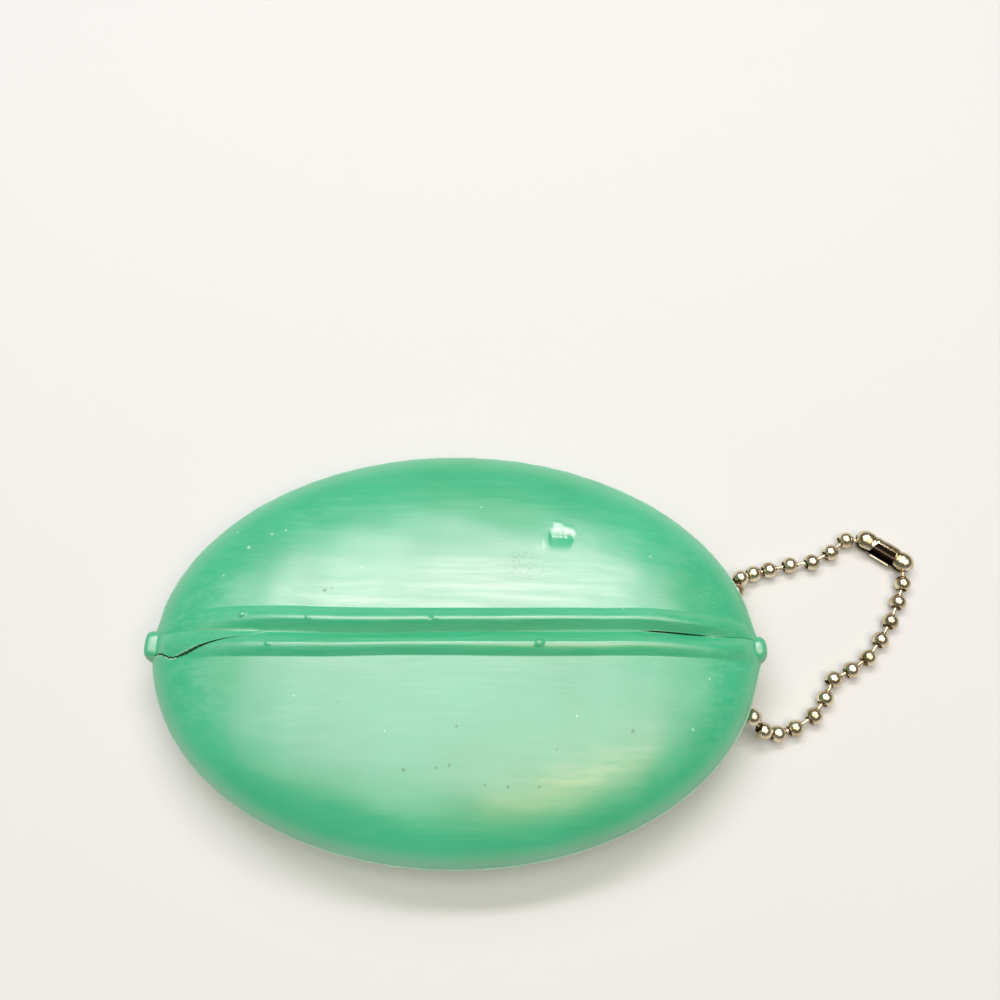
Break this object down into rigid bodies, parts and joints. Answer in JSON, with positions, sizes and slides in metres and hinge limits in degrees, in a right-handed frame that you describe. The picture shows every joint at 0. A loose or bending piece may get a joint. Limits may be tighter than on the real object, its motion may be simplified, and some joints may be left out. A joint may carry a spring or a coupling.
{
  "type": "squeeze coin purse",
  "caption": "Oval squeeze coin purse in soft moulded vinyl with a slit mouth between two raised lips, and a ball chain loop with a folded connector at one end.",
  "frame": {"origin": "the middle of the flat on the purse's back that it rests on, below the middle of the slit", "axes": "+X along the slit towards the chain's end, +Z out of the slit face, away from what the purse rests on"},
  "size_m": [0.1083, 0.057, 0.0166],
  "materials": {
    "vinyl": "soft vinyl with a satin skin",
    "plated_steel": "nickel plate, slightly yellowed"
  },
  "bodies": {
    "back": {"back_strip": "vinyl"},
    "far_side": {"far_half": "vinyl"},
    "near_side": {"near_half": "vinyl"},
    "lug_bead": {"bead_13": "plated_steel"},
    "chain_near": {"bead_06": "plated_steel", "bead_07": "plated_steel", "bead_08": "plated_steel", "bead_09": "plated_steel", "bead_10": "plated_steel", "bead_11": "plated_steel", "bead_12": "plated_steel", "bead_14": "plated_steel", "bead_15": "plated_steel", "bead_16": "plated_steel", "bead_17": "plated_steel", "bead_18": "plated_steel", "bead_19": "plated_steel", "links_near": "plated_steel"},
    "chain_mid": {"bead_04": "plated_steel", "bead_05": "plated_steel", "bead_20": "plated_steel", "bead_21": "plated_steel", "links_mid": "plated_steel"},
    "chain_far": {"bead_03": "plated_steel", "bead_22": "plated_steel", "bead_23": "plated_steel", "bead_24": "plated_steel", "bead_25": "plated_steel", "links_far": "plated_steel"},
    "chain_end": {"bead_01": "plated_steel", "bead_02": "plated_steel", "bead_26": "plated_steel", "bead_27": "plated_steel", "bead_28": "plated_steel", "bead_29": "plated_steel", "links_end": "plated_steel"},
    "coupling": {"connector": "plated_steel"}
  },
  "joints": [
    {"name": "mouth_far", "type": "hinge", "parent": "back", "child": "far_side", "pos_m": [0, 0.00413, 0], "axis": [-1, 0, 0], "range_deg": [0, 14], "stiffness_Nm_per_rad": 0.5},
    {"name": "mouth_near", "type": "hinge", "parent": "back", "child": "near_side", "pos_m": [0, -0.00413, 0], "axis": [1, 0, 0], "range_deg": [0, 14], "stiffness_Nm_per_rad": 0.5},
    {"name": "chain_yaw", "type": "hinge", "parent": "back", "child": "lug_bead", "pos_m": [0.039, 0, 0.0029], "axis": [0, 0, 1], "range_deg": [-8, 8]},
    {"name": "chain_lift", "type": "hinge", "parent": "lug_bead", "child": "chain_near", "pos_m": [0.039, 0, 0.0029], "axis": [0, -1, 0], "range_deg": [0, 60]},
    {"name": "fold_1", "type": "hinge", "parent": "chain_near", "child": "chain_mid", "pos_m": [0.04585, 0.00265, 0.0012], "axis": [0.0562, -0.9984, 0], "range_deg": [-12, 12]},
    {"name": "fold_2", "type": "hinge", "parent": "chain_mid", "child": "chain_far", "pos_m": [0.05135, 0.0054, 0.0012], "axis": [-0.0247, -0.9997, 0], "range_deg": [-12, 12]},
    {"name": "fold_3", "type": "hinge", "parent": "chain_far", "child": "chain_end", "pos_m": [0.05725, 0.01045, 0.0012], "axis": [0.3821, -0.9241, 0], "range_deg": [-12, 12]},
    {"name": "connector_twist", "type": "hinge", "parent": "chain_end", "child": "coupling", "pos_m": [0.0623, 0.01715, 0.0016], "axis": [0.8192, -0.5735, 0], "range_deg": [-12, 12]}
  ],
  "couplings": [
    {"joint": "mouth_near", "follows": "mouth_far", "ratio": 1}
  ]
}
